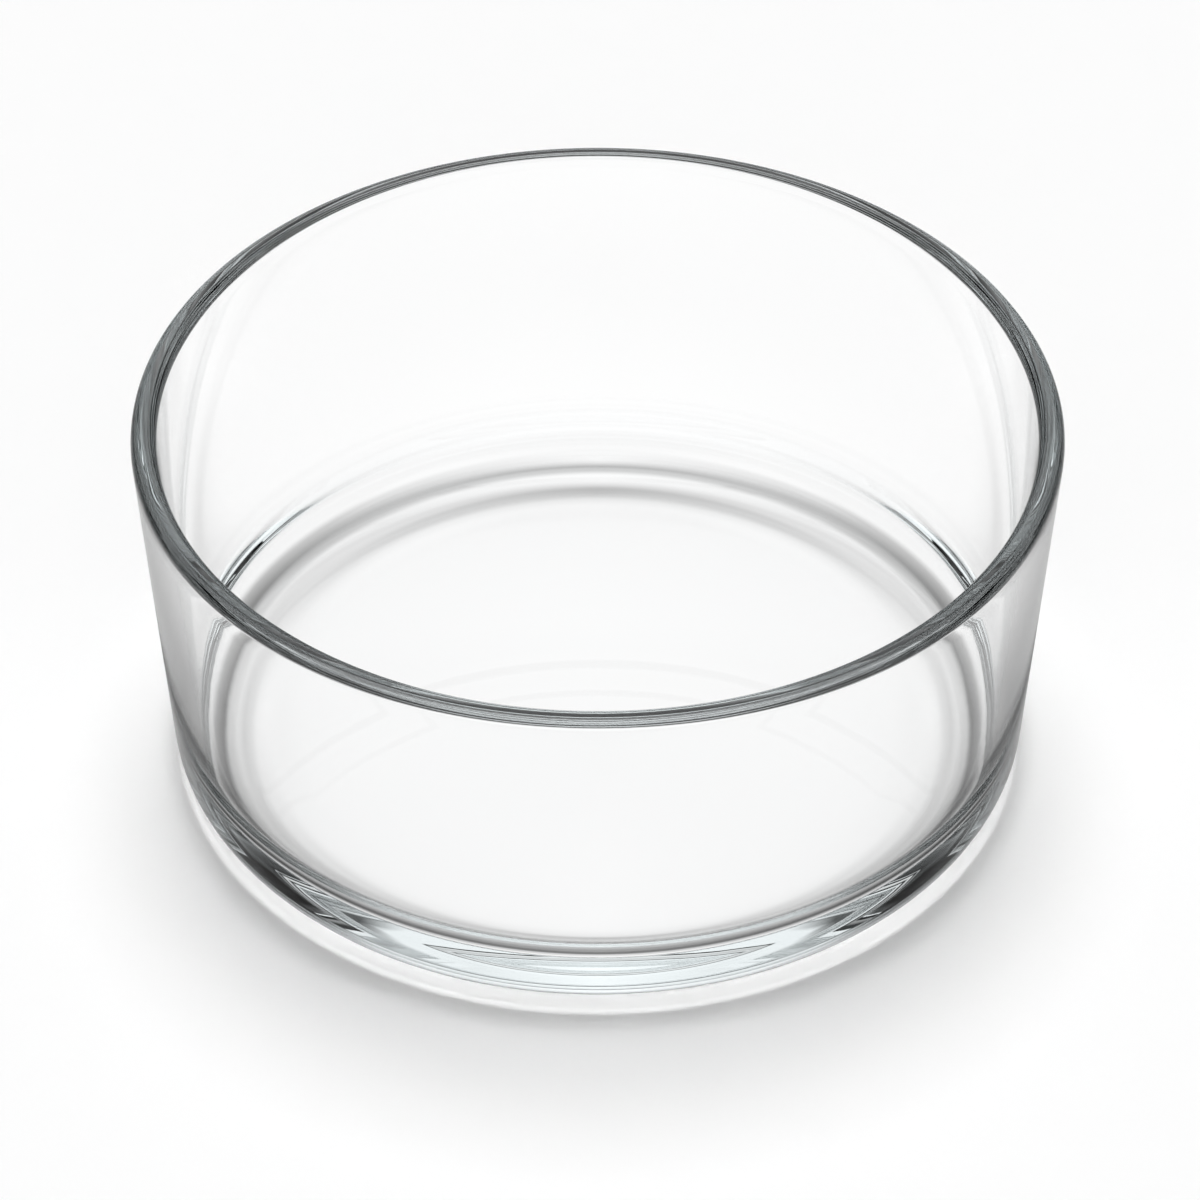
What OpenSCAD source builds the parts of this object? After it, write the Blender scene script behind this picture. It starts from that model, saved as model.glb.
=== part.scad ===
// Round clear glass serving bowl, pressed in one piece of glass.
// A nearly upright wall widens a little towards a rounded, fire-polished rim. It stands on a
// thick base with a rounded heel, and a shallow hollow under the base leaves a ring to stand on.
// Sizes are millimetres. The origin is the centre of the standing ring, and +Z points up.

/* [Rim] */
// Outer radius at the widest place, just under the top of the rim
rim_outer_r = 100; // [60:0.5:180]
// Height of the top of the rim over the table
bowl_h = 85.8; // [50:0.1:140]
// Radius of the rounding on each side of the rim
rim_round_r = 2.4; // [0.8:0.1:2.7]

/* [Wall] */
// Thickness of the wall at the rim
wall_t = 5.6; // [5:0.1:10]
// Lean of the outside of the wall from upright, in degrees
outer_lean = 4.6; // [0:0.1:7]
// Lean of the inside of the wall from upright, in degrees: more than outside thickens the foot
inner_lean = 4.6; // [2:0.1:10]

/* [Base] */
// Height of the inside floor over the table
floor_h = 9.5; // [6:0.1:24]
// Radius of the rounded corner between the inside floor and the wall
floor_corner_r = 11.5; // [2:0.5:20]
// Radius of the rounded heel between the wall and the standing ring
heel_r = 9; // [2:0.5:12]
// Width of the flat ring that the bowl stands on
ring_w = 15; // [4:0.5:32]
// Depth of the hollow under the base at its middle
recess_h = 1.5; // [0.5:0.1:4]

/* [Hidden] */

// Number of segments in a full turn, and in the far wider turn of the hollow under the base
smooth_fn = 180;
recess_fn = 3600;

// Directions square to the outside and the inside of the wall, pointing out of the glass
outer_n = [cos(outer_lean), -sin(outer_lean)];
inner_n = [-cos(inner_lean), sin(inner_lean)];

// Centres of the two roundings of the rim, as radius and height
rim_outer_c = [rim_outer_r - rim_round_r, bowl_h - rim_round_r];
rim_inner_c = [rim_outer_r - wall_t + rim_round_r, bowl_h - rim_round_r];

// Radius at which a circle of radius r and centre height z touches a wall line from its glass
// side (side = 1) or from its open side (side = -1), where the line touches the rounding about c
function touch_radius(c, n, z, r, side) =
    c[0] + (rim_round_r - side * r - n[1] * (z - c[1])) / n[0];

heel_c = [touch_radius(rim_outer_c, outer_n, heel_r, heel_r, 1), heel_r];
corner_h = floor_h + floor_corner_r;
corner_c = [touch_radius(rim_inner_c, inner_n, corner_h, floor_corner_r, -1), corner_h];

// Inner edge of the standing ring, and the radius of the sphere that hollows the underside
recess_r = heel_c[0] - ring_w;
recess_ball_r = (recess_r * recess_r + recess_h * recess_h) / (2 * recess_h);

// Half section of the glass with straight sides, notched to the centre of each rounding
module straight_section() {
    polygon([
        [0, 0],
        [heel_c[0], 0],
        heel_c,
        heel_c + heel_r * outer_n,
        rim_outer_c + rim_round_r * outer_n,
        rim_outer_c,
        [rim_outer_c[0], bowl_h],
        [rim_inner_c[0], bowl_h],
        rim_inner_c,
        rim_inner_c + rim_round_r * inner_n,
        corner_c - floor_corner_r * inner_n,
        corner_c,
        [corner_c[0], floor_h],
        [0, floor_h]
    ]);
}

// A full circle that rounds one corner of the section
module round_at(centre, r) {
    translate(centre)
        circle(r = r, $fn = smooth_fn);
}

// The hollow under the base, as a wide circle that only just reaches over the table
module underside_section() {
    translate([0, recess_h - recess_ball_r])
        circle(r = recess_ball_r, $fn = recess_fn);
}

module bowl_section() {
    difference() {
        union() {
            straight_section();
            round_at(heel_c, heel_r);
            round_at(rim_outer_c, rim_round_r);
            round_at(rim_inner_c, rim_round_r);
        }
        round_at(corner_c, floor_corner_r);
        underside_section();
    }
}

module glass_bowl() {
    color("azure", 0.4)
        rotate_extrude($fn = smooth_fn)
            bowl_section();
}

glass_bowl();
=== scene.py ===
import math

import bpy
import numpy as np
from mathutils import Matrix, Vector


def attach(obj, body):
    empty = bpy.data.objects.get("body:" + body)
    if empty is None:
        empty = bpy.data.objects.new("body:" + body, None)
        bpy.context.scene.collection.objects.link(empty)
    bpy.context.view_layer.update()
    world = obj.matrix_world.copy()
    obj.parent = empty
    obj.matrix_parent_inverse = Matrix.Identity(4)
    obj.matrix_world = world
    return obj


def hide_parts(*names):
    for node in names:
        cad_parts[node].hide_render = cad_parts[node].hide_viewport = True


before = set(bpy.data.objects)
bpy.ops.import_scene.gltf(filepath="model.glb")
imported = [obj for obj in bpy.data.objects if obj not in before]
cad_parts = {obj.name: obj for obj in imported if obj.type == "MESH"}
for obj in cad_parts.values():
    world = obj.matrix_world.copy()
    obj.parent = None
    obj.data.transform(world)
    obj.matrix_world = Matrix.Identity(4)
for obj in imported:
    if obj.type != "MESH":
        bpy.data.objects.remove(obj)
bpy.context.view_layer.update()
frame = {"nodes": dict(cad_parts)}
print("frame loaded:", ", ".join(frame["nodes"]))

# Camera: a long lens that looks down at the bowl, placed from the photograph's rim and foot
camera = {
    "lens": 195.0,               # millimetres on a 36 mm sensor
    "distance": 1.4242,          # from the point aimed at, in metres
    "elevation": 39.89,          # degrees above the horizon
    "aim": (0.0005, 0.0, 0.0350),
}


def placeCamera(c):
    data = bpy.data.cameras.new("camera")
    data.lens = c["lens"]
    data.sensor_width = 36.0
    data.clip_start, data.clip_end = 0.01, 100.0
    up = math.radians(c["elevation"])
    aim = Vector(c["aim"])
    back = Vector((0.0, -math.cos(up), math.sin(up)))
    cam = bpy.data.objects.new("camera", data)
    cam.location = aim + back * c["distance"]
    cam.rotation_euler = (math.pi / 2 - up, 0.0, 0.0)
    bpy.context.scene.collection.objects.link(cam)
    bpy.context.scene.camera = cam


placeCamera(camera)
bpy.context.scene.view_settings.view_transform = "Standard"

# Light that has crossed the glass many times still counts, and stays sharp
lightPaths = bpy.context.scene.cycles
lightPaths.max_bounces = 32
lightPaths.transmission_bounces = 32
lightPaths.glossy_bounces = 24
lightPaths.blur_glossy = 0.0

# The bowl, in metres
bowl = {
    "rimRadius": 0.09999,        # at the widest place
    "height": 0.0858,
    "rimRound": 0.0024,          # radius of each side of the rim
    "wall": 0.0056,              # thickness at the rim
    "outerLean": 4.6,            # degrees from upright
    "innerLean": 4.6,
    "floorHeight": 0.0095,
    "cornerRound": 0.0115,       # between the floor and the wall
    "heelRound": 0.009,
    "ringWidth": 0.015,          # of the flat ring that it stands on
    "recessDepth": 0.0015,
    # Steps of the grid, round the bowl and along the parts of its section
    "turns": 384,
    "sideSteps": 24,
    "ringSteps": 6,
    "roundSteps": 28,            # of the heel and the corner
    "rimSteps": 16,
}


def arcPoints(centre, radius, start, end, count):
    # centre + radius * (cos, sin) of angles that step evenly from start to end
    a = np.radians(np.linspace(start, end, count))
    return np.stack([centre[0] + radius * np.cos(a), centre[1] + radius * np.sin(a)], 1)


def straightPoints(start, end, count):
    t = np.linspace(0.0, 1.0, count)[:, None]
    return (1 - t) * np.array(start) + t * np.array(end)


def bowlSection(b):
    # half section of the glass from the middle of the underside, out round the heel, up the wall,
    # over the rim, down the inside and in to the middle of the floor: each arc touches its
    # neighbours, and centre x = rim centre x + (rimRound -+ arc radius - n.z * dz) / n.x
    outer, inner = math.radians(b["outerLean"]), math.radians(b["innerLean"])
    rr = b["rimRound"]
    rimOut = (b["rimRadius"] - rr, b["height"] - rr)
    rimIn = (b["rimRadius"] - b["wall"] + rr, b["height"] - rr)
    nOut = (math.cos(outer), -math.sin(outer))
    nIn = (-math.cos(inner), math.sin(inner))
    heel, corner = b["heelRound"], b["cornerRound"]
    heelC = (rimOut[0] + (rr - heel - nOut[1] * (heel - rimOut[1])) / nOut[0], heel)
    cornerZ = b["floorHeight"] + corner
    cornerC = (rimIn[0] + (rr + corner - nIn[1] * (cornerZ - rimIn[1])) / nIn[0], cornerZ)
    hollow = heelC[0] - b["ringWidth"]
    ball = (hollow ** 2 + b["recessDepth"] ** 2) / (2 * b["recessDepth"])
    edge = math.degrees(math.asin(hollow / ball))
    lo, li = b["outerLean"], b["innerLean"]
    sides, rounds, rims = b["sideSteps"], b["roundSteps"], b["rimSteps"]
    parts = [
        arcPoints((0.0, b["recessDepth"] - ball), ball, 90, 90 - edge, sides),
        straightPoints((hollow, 0.0), (heelC[0], 0.0), b["ringSteps"]),
        arcPoints(heelC, heel, -90, -lo, rounds),
        straightPoints(
            (heelC[0] + heel * nOut[0], heel + heel * nOut[1]),
            (rimOut[0] + rr * nOut[0], rimOut[1] + rr * nOut[1]), sides),
        arcPoints(rimOut, rr, -lo, 90, rims),
        arcPoints(rimIn, rr, 90, 180 - li, rims),
        straightPoints(
            (rimIn[0] + rr * nIn[0], rimIn[1] + rr * nIn[1]),
            (cornerC[0] - corner * nIn[0], cornerC[1] - corner * nIn[1]), sides),
        arcPoints(cornerC, corner, -li, -90, rounds),
        straightPoints((cornerC[0], b["floorHeight"]), (0.0, b["floorHeight"]), sides),
    ]
    section = np.concatenate(parts)
    # the parts share their end points, and each is kept once
    step = np.linalg.norm(np.diff(section, axis=0), axis=1)
    return section[np.concatenate([[True], step > 1e-7])]


def latheMesh(name, section, turns):
    # (r cos a, r sin a, z) for every point of the section: its first and last point lie on the
    # axis, and each becomes one pole point with a fan of triangles
    a = np.arange(turns) * 2 * math.pi / turns
    ring = section[1:-1]
    x = ring[:, 0, None] * np.cos(a)
    y = ring[:, 0, None] * np.sin(a)
    z = np.repeat(ring[:, 1, None], turns, 1)
    grid = np.stack([x, y, z], 2).reshape(-1, 3)
    points = np.concatenate([[[0, 0, section[0, 1]]], grid, [[0, 0, section[-1, 1]]]])
    rows, cols = np.meshgrid(np.arange(len(ring) - 1), np.arange(turns), indexing="ij")
    nextCol = (cols + 1) % turns
    first = 1 + rows * turns
    quads = np.stack([first + cols, first + nextCol, first + turns + nextCol, first + turns + cols], 2)
    j = np.arange(turns)
    k = (j + 1) % turns
    last = 1 + (len(ring) - 1) * turns
    low = np.stack([np.zeros_like(j), 1 + k, 1 + j], 1)
    high = np.stack([np.full_like(j, len(points) - 1), last + j, last + k], 1)
    mesh = bpy.data.meshes.new(name)
    faces = quads.reshape(-1, 4).tolist() + low.tolist() + high.tolist()
    mesh.from_pydata(points.tolist(), [], faces)
    mesh.polygons.foreach_set("use_smooth", np.ones(len(mesh.polygons), bool))
    mesh.update()
    piece = bpy.data.objects.new(name, mesh)
    bpy.context.scene.collection.objects.link(piece)
    return piece


def joined(tree, kind, operation, values):
    # a maths node fed by numbers or by other nodes
    node = tree.nodes.new(kind)
    node.operation = operation
    for socket, value in zip(node.inputs, values):
        if isinstance(value, (int, float)):
            socket.default_value = value
        else:
            tree.links.new(value, socket)
    return node.outputs["Value"]


def maths(tree, operation, *values):
    return joined(tree, "ShaderNodeMath", operation, values)


def splitAxes(tree, vector):
    split = tree.nodes.new("ShaderNodeSeparateXYZ")
    tree.links.new(vector, split.inputs[0])
    return split.outputs


def mixed(tree, share, first, second, blend="MIX"):
    mix = tree.nodes.new("ShaderNodeMix")
    mix.data_type = "RGBA"
    mix.blend_type = blend
    for socket, value in ((mix.inputs[0], share), (mix.inputs[6], first), (mix.inputs[7], second)):
        if isinstance(value, (int, float)):
            socket.default_value = value if socket.type == "VALUE" else (value, value, value, 1.0)
        elif isinstance(value, tuple):
            socket.default_value = value
        else:
            tree.links.new(value, socket)
    return mix.outputs[2]


glass = {
    "colour": (1.0, 1.0, 1.0, 1.0),
    "ior": 1.52,
    "roughness": 0.0,
    "depthColour": (0.84, 0.94, 0.95, 1.0),
    "depthDensity": 2.2,         # per metre
    # Faint waves left by pressing and fire polishing: long round the bowl, short up its section
    "waveDepth": 0.00001,
    "wavesUp": 80.0,             # per metre
    "wavesRound": 8.0,
    "waveDetail": 2.0,
    "waveMiddle": 0.01,          # metres from the axis within which the waves flatten out
}


def faintWaves(tree, g):
    # noise at (x * round, y * round, (sqrt(x^2 + y^2 + middle^2) + z) * up): radius and height
    # together run along the section, on the floor as well as on the wall
    place = tree.nodes.new("ShaderNodeTexCoord")
    x, y, z = splitAxes(tree, place.outputs["Object"])
    squares = maths(tree, "ADD", maths(tree, "MULTIPLY", x, x), maths(tree, "MULTIPLY", y, y))
    radius = maths(tree, "SQRT", maths(tree, "ADD", squares, g["waveMiddle"] ** 2))
    spot = tree.nodes.new("ShaderNodeCombineXYZ")
    scales = (g["wavesRound"], g["wavesRound"], g["wavesUp"])
    for socket, value, scale in zip(spot.inputs, (x, y, maths(tree, "ADD", radius, z)), scales):
        tree.links.new(maths(tree, "MULTIPLY", value, scale), socket)
    noise = tree.nodes.new("ShaderNodeTexNoise")
    noise.inputs["Scale"].default_value = 1.0
    noise.inputs["Detail"].default_value = g["waveDetail"]
    tree.links.new(spot.outputs[0], noise.inputs["Vector"])
    bump = tree.nodes.new("ShaderNodeBump")
    bump.inputs["Distance"].default_value = g["waveDepth"]
    tree.links.new(noise.outputs["Fac"], bump.inputs["Height"])
    return bump.outputs["Normal"]


def clearGlass(g):
    mat = bpy.data.materials.new("clearGlass")
    mat.use_nodes = True
    tree = mat.node_tree
    shader = tree.nodes["Principled BSDF"]
    shader.inputs["Base Color"].default_value = g["colour"]
    shader.inputs["Roughness"].default_value = g["roughness"]
    shader.inputs["IOR"].default_value = g["ior"]
    shader.inputs["Transmission Weight"].default_value = 1.0
    tree.links.new(faintWaves(tree, g), shader.inputs["Normal"])
    depth = tree.nodes.new("ShaderNodeVolumeAbsorption")
    depth.inputs["Color"].default_value = g["depthColour"]
    depth.inputs["Density"].default_value = g["depthDensity"]
    tree.links.new(depth.outputs["Volume"], tree.nodes["Material Output"].inputs["Volume"])
    return mat


section = bowlSection(bowl)
bowlPiece = latheMesh("bowl_glass", section, bowl["turns"])
bowlPiece.data.materials.append(clearGlass(glass))
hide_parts("glass_bowl")
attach(bowlPiece, "root")
print("bowl made:", len(section), "section points,", len(bowlPiece.data.polygons), "faces")

# The stage. Greys are 1 for white
studio = {
    "floorSize": 8.0,
    "gap": 0.0002,               # floor below the glass, so that the two faces never share a plane
    "floorDirect": 0.96,         # the floor's own grey
    "grainScale": 90.0,          # spots a metre of the floor's faint grain
    "grainDepth": 0.012,
    # The floor as the glass shows it, with shade painted where the foot and the heel keep light from
    # it:
    # metres from the middle, then its grey behind, beside and before the middle
    "paintedShadeThrough": (
        (0.0, 1.0, 1.0, 0.98), (0.0655, 1.0, 0.98, 1.0), (0.0705, 1.0, 0.95, 1.0),
        (0.0725, 0.87, 0.97, 0.92), (0.0745, 0.52, 1.0, 0.57), (0.0762, 0.44, 0.95, 0.62),
        (0.0775, 0.78, 0.75, 0.65), (0.0795, 1.0, 0.65, 0.69), (0.0815, 1.0, 0.8, 0.63),
        (0.083, 0.62, 0.73, 0.39), (0.085, 0.48, 0.66, 0.26), (0.087, 0.85, 0.03, 0.37),
        (0.089, 1.0, 0.14, 0.0), (0.091, 1.0, 0.36, 0.0), (0.093, 1.0, 1.0, 1.0), (0.12, 1.0, 1.0, 1.0),
    ),
    # painted light and shade the same way, where the glass has mirrored the light once or twice; greys
    # above 1 are painted light
    "paintedLightShadeMirrored": (
        (0.0, 0.5, 0.58, 0.54), (0.06, 0.9, 0.83, 0.91), (0.076, 1.02, 0.8, 1.1),
        (0.0825, 1.1, 0.03, 0.67), (0.0845, 0.48, 0.0, 0.0), (0.088, 0.99, 0.01, 0.36),
        (0.091, 1.1, 0.71, 0.29), (0.094, 1.1, 0.49, 1.1), (0.098, 0.98, 0.48, 0.0),
        (0.104, 1.1, 0.07, 0.0), (0.112, 1.05, 0.4, 1.1), (0.13, 0.58, 0.67, 1.1),
        (0.17, 0.11, 1.1, 0.94), (0.21, 0.0, 1.1, 0.94), (0.5, 0.0, 0.24, 1.1),
    ),
    # and the painted light and shade where it has mirrored it three times or more
    "paintedLightShadeDeep": (
        (0.0, 1.1, 0.0, 0.0), (0.055, 0.47, 0.0, 0.0), (0.07, 0.0, 0.0, 0.07), (0.077, 0.0, 0.0, 0.12),
        (0.081, 0.0, 0.0, 0.0), (0.085, 0.32, 0.0, 0.0), (0.089, 1.1, 0.0, 1.1), (0.095, 0.0, 0.0, 1.1),
        (0.101, 0.17, 1.1, 1.1), (0.106, 1.03, 0.14, 1.1), (0.115, 0.0, 0.0, 0.66),
        (0.2, 0.0, 0.22, 0.29), (0.5, 0.0, 0.0, 0.09),
    ),
    # The room as the glass shows it, as soft lamps behind, in front and overhead: degrees above
    # the horizon and grey, then degrees round from the back and share
    "room": (
        (((15.0, 0.0), (25.0, 0.03), (31.0, 0.54), (36.0, 0.9), (46.0, 0.4), (56.0, 0.0)),
         ((0.0, 1.0), (12.0, 0.92), (24.0, 0.23), (36.0, 0.0))),
        (((36.0, 1.2), (46.0, 0.56), (56.0, 0.0)),
         ((80.0, 0.0), (90.0, 0.04), (120.0, 0.41), (140.0, 0.79), (160.0, 1.0), (180.0, 0.92))),
        (((56.0, 0.0), (62.0, 1.2), (75.0, 1.2), (90.0, 1.06)),
         ((0.0, 0.6), (12.0, 0.8), (24.0, 1.0), (36.0, 0.9), (60.0, 0.82), (90.0, 0.55),
          (120.0, 0.16), (140.0, 0.02))),
    ),
    # the same where the glass has mirrored the light three times or more
    "roomDeep": (
        (((0.0, 1.15), (62.0, 1.15)),
         ((0.0, 1.0), (12.0, 0.85), (24.0, 0.85), (33.0, 0.0))),
        (((31.0, 0.0), (35.0, 1.15)),
         ((105.0, 0.0), (130.0, 0.7), (152.0, 1.0))),
        (((54.0, 0.0), (62.0, 0.9), (90.0, 1.1)),
         ((0.0, 1.0), (180.0, 1.0))),
    ),
    "roomTint": (0.976, 0.992, 1.0, 1.0),
    "backdrop": 0.95,            # grey behind everything
    # Lamps that light the floor: degrees above the horizon, degrees round from the back on both
    # sides, degrees from the lamp's middle to where it starts and ends to fade, and grey
    "lamps": (
        (74.0, 0.0, 11.0, 14.0, 14.0),
        (35.0, 180.0, 12.0, 48.0, 1.59),
        (36.0, 95.0, 8.0, 30.0, 1.03),
    ),
}


def rayKinds(tree):
    # 1 or 0 for rays that only the glass has bent or mirrored since the camera and for rays
    # straight from the camera, and how often the glass has mirrored them
    path = tree.nodes.new("ShaderNodeLightPath")
    clear = maths(tree, "MAXIMUM", path.outputs["Is Glossy Ray"], path.outputs["Is Transmission Ray"])
    undiffused = maths(tree, "LESS_THAN", path.outputs["Diffuse Depth"], 0.5)
    viaGlass = maths(tree, "MULTIPLY", clear, undiffused)
    return viaGlass, path.outputs["Is Camera Ray"], path.outputs["Glossy Depth"]


def atLeast(tree, count, least):
    # 1 for whole counts from least upwards
    return maths(tree, "GREATER_THAN", count, least - 0.5)


def greyRamp(tree, value, rows, column=1):
    # greys at given values, from one column of the rows
    ramp = tree.nodes.new("ShaderNodeValToRGB")
    stops = ramp.color_ramp.elements
    stops.remove(stops[1])
    reach = rows[-1][0]
    for i, row in enumerate(rows):
        stop = stops[0] if i == 0 else stops.new(row[0] / reach)
        stop.position = row[0] / reach
        stop.color = (row[column], row[column], row[column], 1.0)
    tree.links.new(maths(tree, "DIVIDE", value, reach), ramp.inputs["Fac"])
    return ramp.outputs["Color"]


def turnRamp(tree, value, turn, rows):
    # the columns stand a quarter turn apart, the first at the back
    colour = greyRamp(tree, value, rows)
    for column in range(2, len(rows[0])):
        share = tree.nodes.new("ShaderNodeMapRange")
        share.inputs["From Min"].default_value = 90.0 * (column - 2)
        share.inputs["From Max"].default_value = 90.0 * (column - 1)
        tree.links.new(turn, share.inputs["Value"])
        colour = mixed(tree, share.outputs["Result"], colour, greyRamp(tree, value, rows, column))
    return colour


def foldedAxes(tree, vector):
    # x made positive, as the stage is the same on the left and on the right
    x, y, z = splitAxes(tree, vector)
    return maths(tree, "ABSOLUTE", x), y, z


def turnFromBack(tree, axes):
    # degrees round from +Y
    return maths(tree, "MULTIPLY", maths(tree, "ARCTAN2", axes[0], axes[1]), 180 / math.pi)


def layFloor(s):
    half, level = s["floorSize"] / 2, -s["gap"]
    corners = [(x * half, y * half, level) for x, y in ((-1, -1), (1, -1), (1, 1), (-1, 1))]
    mesh = bpy.data.meshes.new("floor")
    mesh.from_pydata(corners, [], [(0, 1, 2, 3)])
    floor = bpy.data.objects.new("floor", mesh)
    mat = bpy.data.materials.new("paleFloorWithPaintedShade")
    mat.use_nodes = True
    mat.cycles.emission_sampling = "NONE"
    tree = mat.node_tree
    place = tree.nodes.new("ShaderNodeTexCoord")
    distance = joined(tree, "ShaderNodeVectorMath", "LENGTH", (place.outputs["Object"],))
    turn = turnFromBack(tree, foldedAxes(tree, place.outputs["Object"]))
    viaGlass, direct, mirrorings = rayKinds(tree)
    # painted shade and painted light: the floor that the glass shows glows with these greys by distance
    # and turn, in place of real light on it
    paintedInGlass = turnRamp(tree, distance, turn, s["paintedShadeThrough"])
    for least, rows in ((1, s["paintedLightShadeMirrored"]), (3, s["paintedLightShadeDeep"])):
        paintedInGlass = mixed(
            tree, atLeast(tree, mirrorings, least), paintedInGlass, turnRamp(tree, distance, turn, rows))
    grain = tree.nodes.new("ShaderNodeTexNoise")
    grain.inputs["Scale"].default_value = s["grainScale"]
    tree.links.new(place.outputs["Object"], grain.inputs["Vector"])
    least, most = s["floorDirect"] - s["grainDepth"] / 2, s["floorDirect"] + s["grainDepth"] / 2
    pale = mixed(tree, grain.outputs[0], least, most)
    shader = tree.nodes["Principled BSDF"]
    # rays via the glass see no lit floor, only the painted light and shade as glow; the camera sees the
    # plain pale floor with its real shadow
    tree.links.new(mixed(tree, viaGlass, pale, 0.0), shader.inputs["Base Color"])
    shader.inputs["Roughness"].default_value = 1.0
    shader.inputs["Specular IOR Level"].default_value = 0.0
    tree.links.new(paintedInGlass, shader.inputs["Emission Color"])
    tree.links.new(viaGlass, shader.inputs["Emission Strength"])
    mesh.materials.append(mat)
    bpy.context.scene.collection.objects.link(floor)


def lampGlow(tree, direction, lamps):
    # each lamp is a soft disc: grey * (end - angle) / (end - start), held between 0 and its grey,
    # at the angle arccos(direction . lamp)
    total = 0.0
    for height, turn, start, end, grey in lamps:
        up, aside = math.radians(height), math.radians(turn)
        lamp = (math.cos(up) * math.sin(aside), math.cos(up) * math.cos(aside), math.sin(up))
        x, y, z = (maths(tree, "MULTIPLY", socket, size) for socket, size in zip(direction, lamp))
        cosine = maths(tree, "ADD", maths(tree, "ADD", x, y), z)
        angle = maths(tree, "MULTIPLY", maths(tree, "ARCCOSINE", cosine), 180 / math.pi)
        glow = tree.nodes.new("ShaderNodeMapRange")
        tree.links.new(angle, glow.inputs["Value"])
        for name, value in (("From Min", end), ("From Max", start), ("To Max", grey)):
            glow.inputs[name].default_value = value
        total = maths(tree, "ADD", glow.outputs["Result"], total)
    return total


def roomGlow(tree, height, turn, lamps, tint):
    # the brightest of the lamps, each grey(height) * share(turn)
    room = 0.0
    for greys, shares in lamps:
        lamp = mixed(tree, 1.0, greyRamp(tree, height, greys), greyRamp(tree, turn, shares), "MULTIPLY")
        room = mixed(tree, 1.0, room, lamp, "LIGHTEN")
    return mixed(tree, 1.0, room, tint, "MULTIPLY")


def skyShader(tree, colour):
    shader = tree.nodes.new("ShaderNodeBackground")
    if isinstance(colour, tuple):
        shader.inputs["Color"].default_value = colour
    else:
        tree.links.new(colour, shader.inputs["Color"])
    return shader.outputs[0]


def lightWorld(s):
    # one sky lights the floor, another is what the glass shows, and a plain one is behind it all
    world = bpy.data.worlds.new("studio")
    bpy.context.scene.world = world
    world.use_nodes = True
    tree = world.node_tree
    place = tree.nodes.new("ShaderNodeTexCoord")
    direction = foldedAxes(tree, place.outputs["Generated"])
    height = maths(tree, "MULTIPLY", maths(tree, "ARCSINE", direction[2]), 180 / math.pi)
    turn = turnFromBack(tree, direction)
    viaGlass, direct, mirrorings = rayKinds(tree)
    room = mixed(
        tree, atLeast(tree, mirrorings, 3),
        roomGlow(tree, height, turn, s["room"], s["roomTint"]),
        roomGlow(tree, height, turn, s["roomDeep"], s["roomTint"]))
    backdrop = (s["backdrop"], s["backdrop"], s["backdrop"], 1.0)
    sky = skyShader(tree, lampGlow(tree, direction, s["lamps"]))
    for share, second in ((viaGlass, skyShader(tree, room)), (direct, skyShader(tree, backdrop))):
        mix = tree.nodes.new("ShaderNodeMixShader")
        tree.links.new(share, mix.inputs[0])
        tree.links.new(sky, mix.inputs[1])
        tree.links.new(second, mix.inputs[2])
        sky = mix.outputs[0]
    tree.links.new(sky, tree.nodes["World Output"].inputs["Surface"])


layFloor(studio)
lightWorld(studio)
print("stage made")
